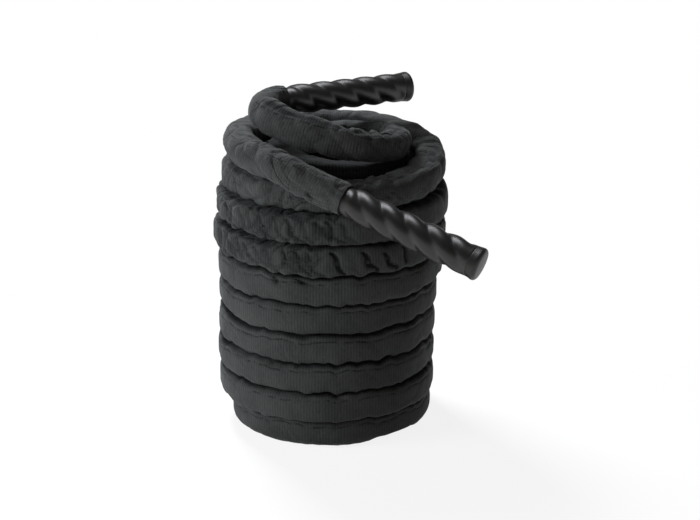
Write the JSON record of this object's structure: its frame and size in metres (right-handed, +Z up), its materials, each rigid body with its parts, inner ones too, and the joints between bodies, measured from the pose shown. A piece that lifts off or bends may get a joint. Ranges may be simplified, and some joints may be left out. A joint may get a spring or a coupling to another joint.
{
  "type": "battle rope",
  "caption": "Sleeved training rope wound into an upright column, with a spiral-ridged rubber grip on each end.",
  "frame": {"origin": "on the floor, under the middle of the whole object's footprint box", "axes": "+Z up along the column of turns, +X to the right and -Y towards the front, where the lower grip hangs over the top turn"},
  "size_m": [0.3444, 0.4254, 0.4582],
  "materials": {
    "sleeve": "woven black nylon, matt",
    "rope": "twisted black polyester, matt",
    "grip": "black, satin, shrunk over the rope's strands",
    "cap": "black, satin, moulded",
    "tape": "grey cloth tape",
    "whipping": "waxed natural twine"
  },
  "bodies": {
    "root": {"rope_core": "rope", "sleeve_coil": "sleeve", "sleeve_free_end_a": "sleeve", "sleeve_free_end_b": "sleeve", "sleeve_hem_a": "sleeve", "sleeve_hem_b": "sleeve", "hem_tape_a": "tape", "hem_tape_b": "tape", "rope_whipping_a": "whipping", "rope_whipping_b": "whipping", "grip_a": "grip", "grip_b": "grip", "grip_end_cap_a": "cap", "grip_end_cap_b": "cap"}
  },
  "joints": []
}
